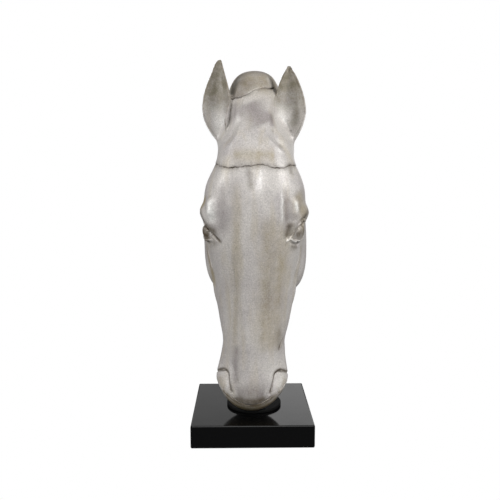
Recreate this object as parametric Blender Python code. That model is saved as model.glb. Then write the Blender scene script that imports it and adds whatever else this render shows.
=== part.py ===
"""Horse head sculpture: one cast head that stands nose down on a thin disc and a square plinth.

Metres, +Z up, the face towards -Y. The origin is the middle of the plinth's underside.
"""

import bmesh
import bpy
import numpy as np
from mathutils import Matrix, Vector
from mathutils.bvhtree import BVHTree

# Plinth
PLINTH_SIDE = 0.2032
PLINTH_THICKNESS = 0.0381
PLINTH_EDGE_RADIUS = 0.0025

# Mounting disc under the lips
DISC_DIAMETER = 0.096
DISC_THICKNESS = 0.005
DISC_EDGE_RADIUS = 0.001
DISC_FRONT = -0.052
DISC_SHIFT = 0.004

# Head, from its seat on the disc to the crest of the neck
HEAD_HEIGHT = 0.585
HEAD_TURN = -4.0
SEAT_FLAT = 0.0015
NECK_CUT_DEPTH = 0.139

# Ears
LEFT_EAR_LENGTH = 0.1535
RIGHT_EAR_LENGTH = 0.1425
LEFT_EAR_TURN = 24.0
RIGHT_EAR_TURN = 3.0
LEFT_EAR_SPREAD = 0.0040
RIGHT_EAR_SPREAD = -0.0005
LEFT_EAR_LEAN = 0.0
RIGHT_EAR_LEAN = 0.003
LEFT_EAR_TAPER = 0.06
RIGHT_EAR_TAPER = -0.05
LEFT_EAR_CURL = 30.0
RIGHT_EAR_CURL = 8.0
EAR_WIDTH = 0.0565
EAR_WALL = 0.0060

# Fits and fineness
FIT_GAP = 0.0003
VOXEL = 0.0024
HEAD_TRIANGLES = 8800

# The head is drawn in millimetres for a head of this height, then brought to HEAD_HEIGHT
DRAWN_HEIGHT = 585.0
SCALE = HEAD_HEIGHT / DRAWN_HEIGHT

# How far the middle of the head wanders sideways: height, shift
CENTRE_LINE = (
    (0, 1.5), (60, 2.5), (150, 5.6), (240, 4.0), (300, 4.0), (385, 6.0), (425, 7.6), (460, 6.2), (500, 4.0),
    (600, 2.6),
)

# Lines that run up the head on one side, from the lips to the crest: height, distance out, distance back
FACE_LINE = (
    (0, 0, -88), (30, 0, -84), (60, 0, -80), (90, 0, -77), (120, 0, -76), (160, 0, -76), (205, 0, -77),
    (250, 0, -81), (300, 0, -87), (345, 0, -91), (385, 0, -91), (420, 0, -85), (440, 0, -79), (455, 0, -71),
    (470, 0, -61), (485, 0, -53), (500, 0, -48), (515, 0, -43), (530, 0, -35), (545, 0, -24), (560, 0, -11),
    (575, 0, 6), (585, 0, 34),
)
NASAL_LINE = (
    (0, 18, -85), (30, 20, -80), (60, 22, -76), (90, 23, -72.5), (120, 24, -71.5), (160, 24.5, -71.5),
    (205, 25.5, -73), (250, 31, -77), (300, 40, -81), (345, 49, -82), (385, 50, -81), (420, 46, -75),
    (440, 41, -69), (455, 37, -64), (470, 33, -56), (485, 30, -48), (500, 29, -43), (515, 30, -37),
    (530, 32, -29), (545, 35, -17), (560, 40, -4), (575, 46, 13), (585, 50, 42),
)
CHEEK_LINE = (
    (0, 42, -74), (30, 44, -70), (60, 45, -63), (90, 41, -57), (120, 42, -53), (160, 45, -50), (205, 50, -50),
    (250, 57, -54), (300, 66, -59), (345, 74, -58), (385, 74, -56), (420, 62, -53), (455, 53, -44),
    (485, 39, -26), (510, 37, -13), (540, 44, 1), (560, 54, 14), (575, 62, 30), (585, 66, 56),
)
SIDE_LINE = (
    (0, 60, -42), (30, 61, -41), (60, 61.5, -40), (90, 56.5, -32), (118, 53.5, -25), (146, 59.5, -18),
    (162, 62.5, -16), (190, 68, -12), (224, 72.3, -10), (275, 80, -12), (310, 84, -16), (345, 86, -16),
    (385, 83, -12), (405, 74.5, -10), (420, 66.5, -8), (455, 64.5, -4), (485, 61, 14), (510, 57, 28),
    (540, 59, 40), (560, 63, 48), (575, 66, 56), (585, 66, 70),
)
JAW_LINE = (
    (0, 50, -5), (30, 50, 0), (60, 49, 2), (90, 45, 2), (120, 45, 8), (160, 49, 24), (205, 54, 42),
    (230, 73.5, 52), (255, 82, 60), (300, 85, 68), (345, 79, 72), (380, 69, 72), (405, 63, 68), (420, 62, 68),
    (455, 63, 70), (485, 63, 72), (510, 62, 76), (540, 62, 80), (560, 63, 84), (575, 64, 88), (585, 64, 94),
)
JAW_EDGE_LINE = (
    (0, 28, 24), (30, 28, 25), (60, 27, 26), (90, 25, 19), (120, 26, 24), (160, 31, 46), (205, 38, 72),
    (250, 54, 96), (290, 62, 116), (330, 60, 124), (365, 52, 116), (395, 46, 104), (415, 48, 116),
    (435, 54, 144), (455, 57, 150), (485, 58, 150), (585, 56, 150),
)
UNDER_LINE = (
    (0, 0, 28), (30, 0, 30), (60, 0, 31), (90, 0, 19), (120, 0, 19), (160, 0, 36), (205, 0, 58), (250, 0, 82),
    (300, 0, 104), (345, 0, 110), (385, 0, 98), (405, 0, 104), (420, 0, 130), (440, 0, 165), (460, 0, 172),
    (585, 0, 172),
)
BODY_LINES = (FACE_LINE, NASAL_LINE, CHEEK_LINE, SIDE_LINE, JAW_LINE, JAW_EDGE_LINE, UNDER_LINE)
FIRST_RING = 0.012
LAST_RING = 0.96
LIP_DEPTH = -50
LIP_ROUND = 60
CREST_ROUND = 100

# The crest falls away behind: how far, and from where and over what reach, first back and then up
CREST_FALL = 22
CREST_FALL_BACK = (50, 110)
CREST_FALL_UP = (440, 130)

# Fineness of the forms that are joined: columns and rows
BODY_GRID = (73, 120)
EAR_GRID = (57, 48)
JOWL_GRID = (48, 32)

# Round muscle of the cheek: middle (out, back, up), half sizes and squareness
JOWL_MIDDLE = (48, 58, 280)
JOWL_HALF = (45, 68, 89)
JOWL_SQUARENESS = 2.7

# Ears: how high the root sits, how deep the cup is for its width, how far round its rims come from the back in
# degrees, the share of the wall left at a rim, the most of half the width that the wall takes, how round the
# cup's floor is, how the spread comes in and goes, where the taper starts, and where the inner rim curls
EAR_ROOT = 440
EAR_DEPTH_SHARE = 0.34
EAR_RIM = 95.0
EAR_RIM_WALL = 0.6
EAR_WALL_MOST = 0.6
EAR_FLOOR_POWER = 1.4
EAR_SPREAD_IN = 0.4
EAR_SPREAD_OUT = 0.9
EAR_TAPER_START = 0.55
EAR_CURL_START = 0.15
EAR_CURL_END = 0.62

# Stations along an ear: share of the length, shares of the full width, of the depth and of the wall, how far
# the cup is hollowed, and the middle (out, back)
EAR_STATIONS = (
    (0.00, 0.52, 0.85, 1.0, 0.0, 45, 6), (0.10, 0.54, 0.85, 1.0, 0.0, 51, -4),
    (0.15, 0.60, 0.92, 2.2, 0.3, 53, -9), (0.21, 0.70, 1.00, 1.7, 0.85, 55, -14),
    (0.32, 0.86, 1.08, 1.1, 1.0, 58, -18), (0.45, 0.97, 1.08, 1.0, 1.0, 60, -18),
    (0.57, 0.93, 1.00, 1.0, 1.0, 60, -16), (0.70, 0.755, 0.82, 1.0, 1.0, 60, -14),
    (0.82, 0.525, 0.60, 1.0, 1.0, 59, -13), (0.91, 0.32, 0.40, 0.9, 0.9, 58, -12),
    (0.96, 0.21, 0.28, 0.8, 0.6, 57.5, -12), (1.00, 0.08, 0.12, 0.6, 0.0, 57, -12),
)

# Strokes along the skin: side (1 the viewer's right, -1 left, 0 both), points (out, back, up), half width and
# height; a groove is below zero
STROKES = (
    (
        "brow", 0,
        ((58, -68, 300), (68, -60, 326), (82, -44, 340), (91, -22, 342), (92, 0, 332), (88, 14, 316)),
        11.5, 8.0,
    ),
    ("brow corner", 1, ((84, -42, 331), (90, -22, 331), (91, -4, 325)), 6, 2.6),
    ("forehead edge", 0, ((46, -84, 380), (49, -83, 345), (47, -81, 312), (42, -79, 285)), 4, 1.6),
    ("left temple groove", -1, ((51, -78, 392), (57, -78, 350), (57, -74, 318), (53, -70, 288)), 8, -2.6),
    ("right temple groove", 1, ((55, -79, 388), (58, -77, 350), (58, -74, 320), (54, -71, 292)), 6, -3.4),
    (
        "nasal groove", 0,
        (
            (40, -78, 285), (33, -78, 262), (29, -74, 231), (26, -71, 197), (25.5, -69, 155), (25, -69, 113),
            (27, -70, 84),
        ),
        6, -2.4,
    ),
    ("cheek crest", 0, ((84, -6, 275), (78, -8, 250), (70, -8, 226), (66, -10, 200), (62, -14, 175)), 6, 3.0),
    ("nose tip", 0, ((34, -66, 95), (29, -71, 80), (23, -75, 64), (17, -78, 50)), 4, -2.2),
    ("mouth corner", 0, ((55, -6, 116), (57, -12, 104), (55, -18, 92)), 5.5, 2.6),
    ("ear fold", 0, ((16, -68, 468), (22, -66, 463), (34, -61, 454), (46, -52, 443), (60, -38, 430)), 6, 2.2),
    ("ear valley", 0, ((24, -50, 500), (30, -54, 480), (42, -50, 462), (56, -38, 448)), 7, -3.0),
)
STROKE_FADE = 0.28
STROKE_POINTS = 40
STROKE_REACH = 40.0
MOUTH_PATH = (
    (0, -68, 13), (13, -67, 14), (32, -64, 22), (45, -51, 25), (54, -40, 38), (58, -30, 56), (57, -22, 80),
    (55, -16, 100), (54, -12, 116),
)
MOUTH_HALF_WIDTH = 2.6
MOUTH_DEPTH = 3.6
MOUTH_FADE = 0.15

# Eye: ball, the directions out of the socket and along the lids, and the lids' edges (along, upper, lower)
EYE_MIDDLE = (64.5, -30, 309)
EYE_OUT = (0.862, -0.50, 0.03)
EYE_ALONG = (0.426, 0.766, 0.482)
EYE_RADIUS = 21.5
EYE_LIDS = ((-26, 0, 0), (-19, 6, -3), (-10, 11, -8), (2, 14, -13), (13, 12, -12), (23, 7, -7), (30, 0, 0))
EYE_REACH = 3.0
LID_SPREAD = 2.2
LID_THICKNESS = 3.2
LID_RIM = 2.0
LID_REACH = 13.0

# Nostril: its edge (out, up) over the top from the outer end and down the inner side, how deep it is, how far
# it runs out over the side of the muzzle and how fast that side turns away, and how wide its lip and foot are
NOSTRIL_TOP = ((66, 58), (64, 66), (59, 70.5), (52, 72), (45, 71.5), (41, 68))
NOSTRIL_INNER = ((41, 68), (37, 57), (33, 46), (29, 36))
NOSTRIL_DEPTH = 5.0
NOSTRIL_REACH = 36.0
NOSTRIL_SIDE = -52.0
NOSTRIL_TURN = 0.8
NOSTRIL_LIP = 2.6
NOSTRIL_FOOT = 26.0

# Smoothing of the joined skin, and the share of it that the thin ears take
RELAX_ROUNDS = 14
EAR_RELAX = 0.1


def smooth_step(value):
    value = np.clip(value, 0, 1)
    return value * value * (3 - 2 * value)


def curve_at(stations, along):
    """A smooth curve through stations, whose first column runs evenly up, read at one place along it."""
    stations = np.array(stations, float)
    steps = stations[:, 0]
    slopes = np.gradient(stations, steps, axis=0)
    k = int(np.clip(np.searchsorted(steps, along) - 1, 0, len(steps) - 2))
    span = steps[k + 1] - steps[k]
    s = (along - steps[k]) / span
    value = (
        (2 * s**3 - 3 * s**2 + 1) * stations[k]
        + (s**3 - 2 * s**2 + s) * span * slopes[k]
        + (3 * s**2 - 2 * s**3) * stations[k + 1]
        + (s**3 - s**2) * span * slopes[k + 1]
    )
    return value[1:]


def smooth_path(points, count):
    """Evenly read points of the smooth curve through the given ones."""
    points = np.array(points, float)
    lengths = np.concatenate([[0], np.cumsum(np.linalg.norm(np.diff(points, axis=0), axis=1))])
    stations = np.column_stack([lengths, points])
    return np.array([curve_at(stations, along) for along in np.linspace(0, lengths[-1], count)])


def object_of(bm, name):
    mesh = bpy.data.meshes.new(name)
    bm.to_mesh(mesh)
    bm.free()
    made = bpy.data.objects.new(name, mesh)
    bpy.context.scene.collection.objects.link(made)
    return made


def warped_tube(around, rows, place, name):
    """A closed tube: a grid whose columns run round and whose rows run along, with both ends filled."""
    bm = bmesh.new()
    bmesh.ops.create_grid(bm, x_segments=around, y_segments=rows, size=1.0)
    for v in bm.verts:
        v.co = place((v.co.x + 1) / 2 % 1.0, (v.co.y + 1) / 2)
    bmesh.ops.remove_doubles(bm, verts=bm.verts, dist=0.001)
    bmesh.ops.holes_fill(bm, edges=[e for e in bm.edges if e.is_boundary], sides=0)
    bmesh.ops.recalc_face_normals(bm, faces=bm.faces)
    return object_of(bm, name)


def closed_curve(corners, share):
    """A point on the smooth closed curve through the corners, at a share of the way round."""
    count = len(corners)
    k = int(share * count) % count
    s = share * count - int(share * count)
    p0, p1, p2, p3 = (corners[(k + j - 1) % count] for j in range(4))
    d01, d12, d23 = (max(np.linalg.norm(b - a), 1e-6) for a, b in ((p0, p1), (p1, p2), (p2, p3)))
    m1 = ((p1 - p0) / d01 * d12 + (p2 - p1) / d12 * d01) / (d01 + d12) * d12
    m2 = ((p2 - p1) / d12 * d23 + (p3 - p2) / d23 * d12) / (d12 + d23) * d12
    start = (2 * s**3 - 3 * s**2 + 1) * p1 + (s**3 - 2 * s**2 + s) * m1
    return start + (3 * s**2 - 2 * s**3) * p2 + (s**3 - s**2) * m2


def body_height(share):
    """Heights of the rings, closer together near the lips and the crest."""
    ring = FIRST_RING + (LAST_RING - FIRST_RING) * share
    return DRAWN_HEIGHT * (1 - np.cos(np.pi * ring)) / 2


def body_corners(height):
    """The corners of the head's outline at one height, closed in towards the lips and the crest."""
    half = [curve_at(line, height) for line in BODY_LINES]
    if height < LIP_ROUND:
        opened = np.sqrt(1 - ((LIP_ROUND - height) / LIP_ROUND) ** 2)
        half = [np.array((x * opened, LIP_DEPTH + (y - LIP_DEPTH) * opened)) for x, y in half]
    over = height - (DRAWN_HEIGHT - CREST_ROUND)
    if over > 0:
        opened = np.sqrt(1 - (over / CREST_ROUND) ** 2)
        half = [np.array((x * opened, y)) for x, y in half]
    return half + [p * (-1, 1) for p in reversed(half[1:-1])]


def body_form():
    corners = {}

    def place(round_share, up_share):
        if up_share not in corners:
            corners[up_share] = body_corners(body_height(up_share))
        x, y = closed_curve(corners[up_share], round_share)
        height = body_height(up_share)
        behind = (y - CREST_FALL_BACK[0]) / CREST_FALL_BACK[1]
        above = (height - CREST_FALL_UP[0]) / CREST_FALL_UP[1]
        return Vector((x, y, height - CREST_FALL * smooth_step(behind) * smooth_step(above)))

    return warped_tube(*BODY_GRID, place, "body form")


def jowl_form(side):
    bm = bmesh.new()
    bmesh.ops.create_uvsphere(bm, u_segments=JOWL_GRID[0], v_segments=JOWL_GRID[1], radius=1.0)
    for v in bm.verts:
        v.co = Vector([np.sign(c) * abs(c) ** (2 / JOWL_SQUARENESS) * r for c, r in zip(v.co, JOWL_HALF)])
        v.co = (v.co + Vector(JOWL_MIDDLE)) * Vector((side, 1, 1))
    bmesh.ops.recalc_face_normals(bm, faces=bm.faces)
    return object_of(bm, "jowl form")


def ear_point(round_share, up_share, taper, curl):
    """A point of the upright ear's section: round the back from rim to rim, then back across the cup."""
    width, depth, wall, hollow = curve_at(EAR_STATIONS, up_share)[:4]
    width *= 1 - taper * smooth_step((up_share - EAR_TAPER_START) / (1 - EAR_TAPER_START))
    a = max(EAR_WIDTH / SCALE / 2 * width, 0.5)
    b = max(EAR_WIDTH / SCALE * EAR_DEPTH_SHARE * depth, 0.5)
    thick = min(EAR_WALL / SCALE * wall, EAR_WALL_MOST * a)
    curled = smooth_step(up_share / EAR_CURL_START) * smooth_step((EAR_CURL_END - up_share) / EAR_CURL_END * 2)
    inner_rim = EAR_RIM + curl * curled
    outside = round_share < 0.5
    across = 2 * round_share if outside else 2 - 2 * round_share
    turn = np.radians((EAR_RIM + inner_rim) * across - inner_rim)
    if outside:
        return a * np.sin(turn), b * np.cos(turn)
    sunk = max(np.cos(turn), 0.0)
    floor = (b - thick) * np.clip(hollow, 0, 1) * sunk**EAR_FLOOR_POWER + b * min(np.cos(turn), 0.0)
    return (a - thick * (EAR_RIM_WALL + (1 - EAR_RIM_WALL) * sunk)) * np.sin(turn), floor


def ear_form(side, length, turn, spread, lean, taper, curl):
    swing = Matrix.Rotation(np.radians(turn), 2)

    def place(round_share, up_share):
        out, back = curve_at(EAR_STATIONS, up_share)[4:]
        x, y = swing @ Vector(ear_point(round_share, up_share, taper, curl))
        out += spread / SCALE * smooth_step(up_share / EAR_SPREAD_IN) * (1 - EAR_SPREAD_OUT * up_share)
        out += lean / SCALE * up_share**3
        return Vector((side * (out + x), back + y, EAR_ROOT + up_share * length / SCALE))

    return warped_tube(*EAR_GRID, place, "ear form")


def voxel_union(forms, voxel, name):
    """One even skin round several forms that overlap."""
    bm = bmesh.new()
    for form in forms:
        bm.from_mesh(form.data)
    joined = object_of(bm, name)
    remesh = joined.modifiers.new("union", "REMESH")
    remesh.mode = "VOXEL"
    remesh.voxel_size = voxel
    mesh = evaluated(joined)
    for form in (*forms, joined):
        bpy.data.objects.remove(form)
    return mesh


def evaluated(made):
    graph = bpy.context.evaluated_depsgraph_get()
    return bpy.data.meshes.new_from_object(made.evaluated_get(graph))


def points_of(mesh):
    points = np.empty(len(mesh.vertices) * 3, np.float32)
    mesh.vertices.foreach_get("co", points)
    return points.reshape(-1, 3).astype(float)


def normals_of(mesh):
    return np.array([n.vector for n in mesh.vertex_normals], float)


def set_points(mesh, points):
    mesh.vertices.foreach_set("co", points.astype(np.float32).ravel())
    mesh.update()


def relax(mesh, weights, rounds):
    """Move each point towards its neighbours' middle, by its own weight."""
    pairs = np.empty(len(mesh.edges) * 2, np.int32)
    mesh.edges.foreach_get("vertices", pairs)
    a, b = pairs.reshape(-1, 2).T
    points = points_of(mesh)
    count = np.bincount(a, minlength=len(points)) + np.bincount(b, minlength=len(points))
    for _ in range(rounds):
        total = np.zeros_like(points)
        for axis in range(3):
            total[:, axis] += np.bincount(a, points[b, axis], len(points))
            total[:, axis] += np.bincount(b, points[a, axis], len(points))
        points += 0.5 * weights[:, None] * (total / count[:, None] - points)
    set_points(mesh, points)


def near_ear(mesh, ears, reach):
    """For each point of the mesh, whether it lies on an ear."""
    found = np.zeros(len(mesh.vertices), bool)
    for tree in ears:
        for v in mesh.vertices:
            if v.co.z > EAR_ROOT:
                hit = tree.find_nearest(v.co, reach)
                found[v.index] |= hit[0] is not None
    return found


def folded(points):
    """Both halves laid on one, for carving that is the same on each side."""
    return np.column_stack([np.abs(points[:, 0]), points[:, 1:]])


def path_distance(points, path):
    """Least distance from each point to a line of points, and the share along the line where it is met."""
    best = np.full(len(points), 1e9)
    where = np.zeros(len(points))
    near = np.all((points > path.min(0) - STROKE_REACH) & (points < path.max(0) + STROKE_REACH), axis=1)
    close = points[near]
    best_close, where_close = best[near], where[near]
    for k, (a, b) in enumerate(zip(path[:-1], path[1:])):
        along = b - a
        s = np.clip((close - a) @ along / (along @ along), 0, 1)
        gap = np.linalg.norm(close - a - s[:, None] * along, axis=1)
        nearer = gap < best_close
        best_close = np.where(nearer, gap, best_close)
        where_close = np.where(nearer, (k + s) / (len(path) - 1), where_close)
    best[near], where[near] = best_close, where_close
    return best, where


def on_skin(path, tree):
    """The path drawn onto the skin: each point moved to the nearest place on it."""
    return np.array([tree.find_nearest(Vector(p))[0] for p in smooth_path(path, STROKE_POINTS)])


def stroke_distance(mesh, side, path):
    """Least distance from each point to a path on the skin of one side or of both, and the share along it."""
    points = points_of(mesh)
    tree = tree_of(mesh)
    best = np.full(len(points), np.inf)
    where = np.zeros(len(points))
    for turned in (1, -1):
        if side != -turned:
            distance, share = path_distance(points, on_skin(np.array(path) * (turned, 1, 1), tree))
            where = np.where(distance < best, share, where)
            best = np.minimum(best, distance)
    return best, where


def move_out(mesh, amounts):
    """Move each point out along its normal by its own amount."""
    set_points(mesh, points_of(mesh) + amounts[:, None] * normals_of(mesh))


def stroke(mesh, side, path, half_width, height):
    """Raise or sink the skin along a path, fading at its ends."""
    distance, share = stroke_distance(mesh, side, path)
    fade = smooth_step(share / STROKE_FADE) * smooth_step((1 - share) / STROKE_FADE)
    move_out(mesh, height * fade * np.exp(-((distance / half_width) ** 2)))


def tree_of(mesh):
    bm = bmesh.new()
    bm.from_mesh(mesh)
    tree = BVHTree.FromBMesh(bm)
    bm.free()
    return tree


def mouth(mesh):
    """The slit between the lips, from the front up to its corner."""
    distance, share = stroke_distance(mesh, 0, MOUTH_PATH)
    fade = smooth_step((1 - share) / MOUTH_FADE)
    move_out(mesh, -MOUTH_DEPTH * fade * np.exp(-((distance / MOUTH_HALF_WIDTH) ** 2)))


def nostril(mesh):
    """A scoop, deepest under its inner and top edges, that runs out level at the side of the muzzle."""
    half = folded(points_of(mesh))
    top, inner = np.array(NOSTRIL_TOP, float)[::-1], np.array(NOSTRIL_INNER, float)[::-1]
    out = half[:, 0] - np.interp(half[:, 2], inner[:, 1], inner[:, 0])
    under = np.interp(half[:, 0], top[:, 0], top[:, 1]) - half[:, 2]
    girth = out + np.maximum(0, half[:, 1] - NOSTRIL_SIDE) * NOSTRIL_TURN
    depth = (
        smooth_step(out / NOSTRIL_LIP)
        * smooth_step(under / NOSTRIL_LIP)
        * smooth_step((half[:, 2] - inner[0, 1]) / NOSTRIL_FOOT)
        * smooth_step(1 - girth / NOSTRIL_REACH)
    )
    front = half[:, 1] < NOSTRIL_SIDE + NOSTRIL_REACH
    move_out(mesh, -NOSTRIL_DEPTH * depth * front)


def eye_directions():
    """Along the lids, up across them, and out of the socket."""
    out = np.array(EYE_OUT) / np.linalg.norm(EYE_OUT)
    along = np.array(EYE_ALONG) - np.dot(EYE_ALONG, out) * out
    along /= np.linalg.norm(along)
    return along, np.cross(out, along), out


def eye(mesh):
    """Ball and lids: within the lids' edges the skin is the ball, outside them a lid that fades away."""
    points = points_of(mesh)
    along, up, out = eye_directions()
    local = folded(points) - EYE_MIDDLE
    a, b, n = local @ along, local @ up, local @ out
    places = np.linspace(EYE_LIDS[0][0], EYE_LIDS[-1][0], STROKE_POINTS)
    lids = np.array([curve_at(EYE_LIDS, place) for place in places])
    upper = np.interp(a, places, lids[:, 0])
    lower = np.interp(a, places, lids[:, 1])
    past_end = np.maximum(0, np.maximum(places[0] - a, a - places[-1]))
    beyond = np.maximum(np.maximum(b - upper, lower - b), 0) + past_end
    spread = a**2 + b**2
    sphere = np.sqrt(np.maximum(EYE_RADIUS**2 - spread, 0))
    ball = np.where(spread < EYE_RADIUS**2, sphere, n - LID_THICKNESS)
    lid = np.maximum(np.sqrt(np.maximum((EYE_RADIUS + LID_THICKNESS) ** 2 - spread, 0)), n)
    blend = smooth_step(1 - beyond / LID_REACH) * smooth_step(LID_SPREAD - np.sqrt(spread) / EYE_RADIUS)
    opened = smooth_step(np.minimum(upper - b, b - lower) / LID_RIM)
    target = np.where(beyond > 0, n + (lid - n) * blend, lid + (ball - lid) * opened)
    reached = (n > 0) & (spread < (EYE_REACH * EYE_RADIUS) ** 2)
    move = np.where(reached, target - n, 0)
    sides = np.column_stack([np.sign(points[:, 0]), np.ones((len(points), 2))])
    set_points(mesh, points + move[:, None] * out * sides)


def head_skin(voxel):
    """The whole head, in drawn millimetres."""
    right = (RIGHT_EAR_LENGTH, RIGHT_EAR_TURN, RIGHT_EAR_SPREAD, RIGHT_EAR_LEAN, RIGHT_EAR_TAPER, RIGHT_EAR_CURL)
    left = (LEFT_EAR_LENGTH, LEFT_EAR_TURN, LEFT_EAR_SPREAD, LEFT_EAR_LEAN, LEFT_EAR_TAPER, LEFT_EAR_CURL)
    ears = [ear_form(1, *right), ear_form(-1, *left)]
    trees = [tree_of(ear.data) for ear in ears]
    mesh = voxel_union([body_form(), jowl_form(1), jowl_form(-1), *ears], voxel, "head skin")
    weights = np.where(near_ear(mesh, trees, voxel), EAR_RELAX, 1.0)
    relax(mesh, weights, RELAX_ROUNDS)
    for _, side, path, half_width, height in STROKES:
        stroke(mesh, side, path, half_width, height)
    mouth(mesh)
    nostril(mesh)
    eye(mesh)
    relax(mesh, weights, 1)
    points = points_of(mesh)
    points[:, 0] += [curve_at(CENTRE_LINE, z)[0] for z in np.clip(points[:, 2], 0, CENTRE_LINE[-1][0])]
    set_points(mesh, points)
    return mesh


def cut_flat(bm, point, facing):
    """Cut away what lies past a plane and close the hole with a flat face."""
    whole = [*bm.verts, *bm.edges, *bm.faces]
    cut = bmesh.ops.bisect_plane(bm, geom=whole, dist=0.0, plane_co=point, plane_no=facing, clear_outer=True)
    rim = [g for g in cut["geom_cut"] if isinstance(g, bmesh.types.BMEdge)]
    bmesh.ops.triangle_fill(bm, use_beauty=True, use_dissolve=False, edges=rim, normal=Vector(facing))


def plain_material(name, colour, roughness, metallic):
    material = bpy.data.materials.new(name)
    material.use_nodes = True
    shader = material.node_tree.nodes["Principled BSDF"]
    shader.inputs["Base Color"].default_value = (*colour, 1)
    shader.inputs["Roughness"].default_value = roughness
    shader.inputs["Metallic"].default_value = metallic
    return material


def make_head():
    bm = bmesh.new()
    bm.from_mesh(head_skin(VOXEL / SCALE))
    cut_flat(bm, (0, NECK_CUT_DEPTH / SCALE, 0), (0, 1, 0))
    rough = object_of(bm, "rough head")
    faces = rough.modifiers.new("faces", "TRIANGULATE")
    faces.min_vertices = 4
    thin = rough.modifiers.new("thin", "DECIMATE")
    thin.ratio = HEAD_TRIANGLES / (2 * len(rough.data.polygons))
    bm = bmesh.new()
    bm.from_mesh(evaluated(rough))
    bpy.data.objects.remove(rough)
    cut_flat(bm, (0, 0, SEAT_FLAT / SCALE), (0, 0, -1))
    bmesh.ops.triangulate(bm, faces=bm.faces)
    bmesh.ops.recalc_face_normals(bm, faces=bm.faces)
    bmesh.ops.scale(bm, verts=bm.verts, vec=(SCALE, SCALE, SCALE))
    bmesh.ops.translate(bm, verts=bm.verts, vec=(0, 0, -SEAT_FLAT))
    head = object_of(bm, "horse_head")
    head.rotation_euler.z = np.radians(HEAD_TURN)
    head.location = (0, 0, PLINTH_THICKNESS + FIT_GAP + DISC_THICKNESS + FIT_GAP)
    head.data.materials.append(plain_material("silver leaf", (0.50, 0.47, 0.43), 0.42, 0.35))
    head.data.shade_smooth()
    return head


def make_disc():
    bm = bmesh.new()
    radius = DISC_DIAMETER / 2
    bmesh.ops.create_cone(bm, cap_ends=True, segments=48, radius1=radius, radius2=radius, depth=DISC_THICKNESS)
    disc = object_of(bm, "mounting_disc")
    round_edges(disc, DISC_EDGE_RADIUS, 2)
    base = PLINTH_THICKNESS + FIT_GAP
    disc.location = (DISC_SHIFT, DISC_FRONT + radius, base + DISC_THICKNESS / 2)
    disc.data.materials.append(plain_material("black disc", (0.012, 0.012, 0.013), 0.35, 0.0))
    return disc


def make_plinth():
    bm = bmesh.new()
    bmesh.ops.create_cube(bm, size=1.0)
    bmesh.ops.scale(bm, verts=bm.verts, vec=(PLINTH_SIDE, PLINTH_SIDE, PLINTH_THICKNESS))
    plinth = object_of(bm, "plinth")
    round_edges(plinth, PLINTH_EDGE_RADIUS, 3)
    plinth.location.z = PLINTH_THICKNESS / 2
    plinth.data.materials.append(plain_material("black stone", (0.010, 0.010, 0.011), 0.12, 0.0))
    return plinth


def round_edges(made, radius, segments):
    bevel = made.modifiers.new("rounded edges", "BEVEL")
    bevel.width = radius
    bevel.segments = segments
    bevel.limit_method = "ANGLE"
    made.data.shade_smooth()
    made.data.set_sharp_from_angle(angle=np.radians(35))


def main():
    for old in list(bpy.data.objects):
        bpy.data.objects.remove(old)
    make_plinth()
    make_disc()
    make_head()


main()
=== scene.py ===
import time

import bmesh
import bpy
import numpy as np
from mathutils import Matrix, Vector
from mathutils.bvhtree import BVHTree


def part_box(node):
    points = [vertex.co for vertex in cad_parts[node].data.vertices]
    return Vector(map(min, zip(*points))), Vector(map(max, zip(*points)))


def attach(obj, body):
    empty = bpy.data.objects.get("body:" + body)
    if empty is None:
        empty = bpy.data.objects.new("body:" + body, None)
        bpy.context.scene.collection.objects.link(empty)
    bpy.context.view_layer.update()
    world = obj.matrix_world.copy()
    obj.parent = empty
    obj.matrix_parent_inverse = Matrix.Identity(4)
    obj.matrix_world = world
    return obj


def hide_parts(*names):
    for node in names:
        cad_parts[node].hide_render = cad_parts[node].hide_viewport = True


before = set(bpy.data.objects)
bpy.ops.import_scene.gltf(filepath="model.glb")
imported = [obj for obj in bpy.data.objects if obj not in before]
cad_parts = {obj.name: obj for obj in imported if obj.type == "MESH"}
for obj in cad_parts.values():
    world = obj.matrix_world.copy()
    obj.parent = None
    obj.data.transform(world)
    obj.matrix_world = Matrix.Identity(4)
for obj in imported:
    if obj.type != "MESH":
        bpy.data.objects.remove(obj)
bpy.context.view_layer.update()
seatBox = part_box("horse_head")
started = time.time()


def report(stage):
    print(f"{time.time() - started:6.1f} s  {stage}")


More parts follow.
